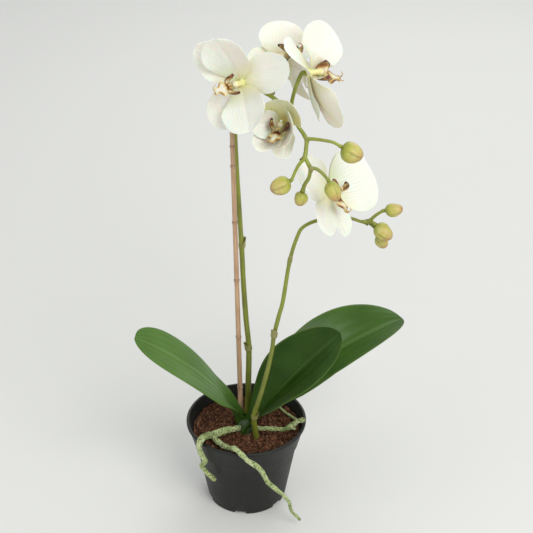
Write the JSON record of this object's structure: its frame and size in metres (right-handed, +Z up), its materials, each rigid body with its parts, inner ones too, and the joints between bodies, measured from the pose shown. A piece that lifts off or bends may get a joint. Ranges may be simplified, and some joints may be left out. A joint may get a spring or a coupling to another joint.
{
  "type": "potted orchid",
  "caption": "Moth orchid in a round tapered nursery pot of bark mix, with a cane, arching flower spikes, cupped leaves, buds, open white flowers and roots creeping over the rim.",
  "frame": {"origin": "centre of the pot's underside, on the surface it stands on", "axes": "+Z up, -Y towards the side the plant is seen from, +X to that side's right"},
  "size_m": [0.2623, 0.1563, 0.5135],
  "materials": {
    "black_plastic": "satin",
    "bark_mix": "matte",
    "cane": "satin",
    "stem_green": "satin",
    "leaf_green": "satin",
    "root_green": "matte",
    "bud_green": "satin",
    "petal_white": "satin",
    "lip_gold": "satin",
    "column_cream": "satin"
  },
  "bodies": {
    "root": {"nursery_pot": "black_plastic", "potting_mix": "bark_mix", "support_cane": "cane", "spike_back": "stem_green", "spike_front": "stem_green", "plant_crown": "leaf_green", "leaf_left": "leaf_green", "leaf_middle": "leaf_green", "leaf_right": "leaf_green", "aerial_root_left": "root_green", "aerial_root_right": "root_green", "aerial_root_back": "root_green", "bud_1": "bud_green", "bud_2": "bud_green", "bud_3": "bud_green", "bud_4": "bud_green", "bud_5": "bud_green", "bud_6": "bud_green", "bud_7": "bud_green", "flower_left_dorsal_sepal": "petal_white", "flower_left_left_sepal": "petal_white", "flower_left_right_sepal": "petal_white", "flower_left_left_petal": "petal_white", "flower_left_right_petal": "petal_white", "flower_left_lip": "lip_gold", "flower_left_column": "column_cream", "flower_top_dorsal_sepal": "petal_white", "flower_top_left_sepal": "petal_white", "flower_top_right_sepal": "petal_white", "flower_top_left_petal": "petal_white", "flower_top_right_petal": "petal_white", "flower_top_lip": "lip_gold", "flower_top_column": "column_cream", "flower_hanging_dorsal_sepal": "petal_white", "flower_hanging_left_sepal": "petal_white", "flower_hanging_right_sepal": "petal_white", "flower_hanging_left_petal": "petal_white", "flower_hanging_right_petal": "petal_white", "flower_hanging_lip": "lip_gold", "flower_hanging_column": "column_cream", "flower_front_dorsal_sepal": "petal_white", "flower_front_left_sepal": "petal_white", "flower_front_right_sepal": "petal_white", "flower_front_left_petal": "petal_white", "flower_front_right_petal": "petal_white", "flower_front_lip": "lip_gold", "flower_front_column": "column_cream", "flower_rear_dorsal_sepal": "petal_white", "flower_rear_left_sepal": "petal_white", "flower_rear_right_sepal": "petal_white", "flower_rear_left_petal": "petal_white", "flower_rear_right_petal": "petal_white", "flower_rear_lip": "lip_gold", "flower_rear_column": "column_cream"}
  },
  "joints": []
}
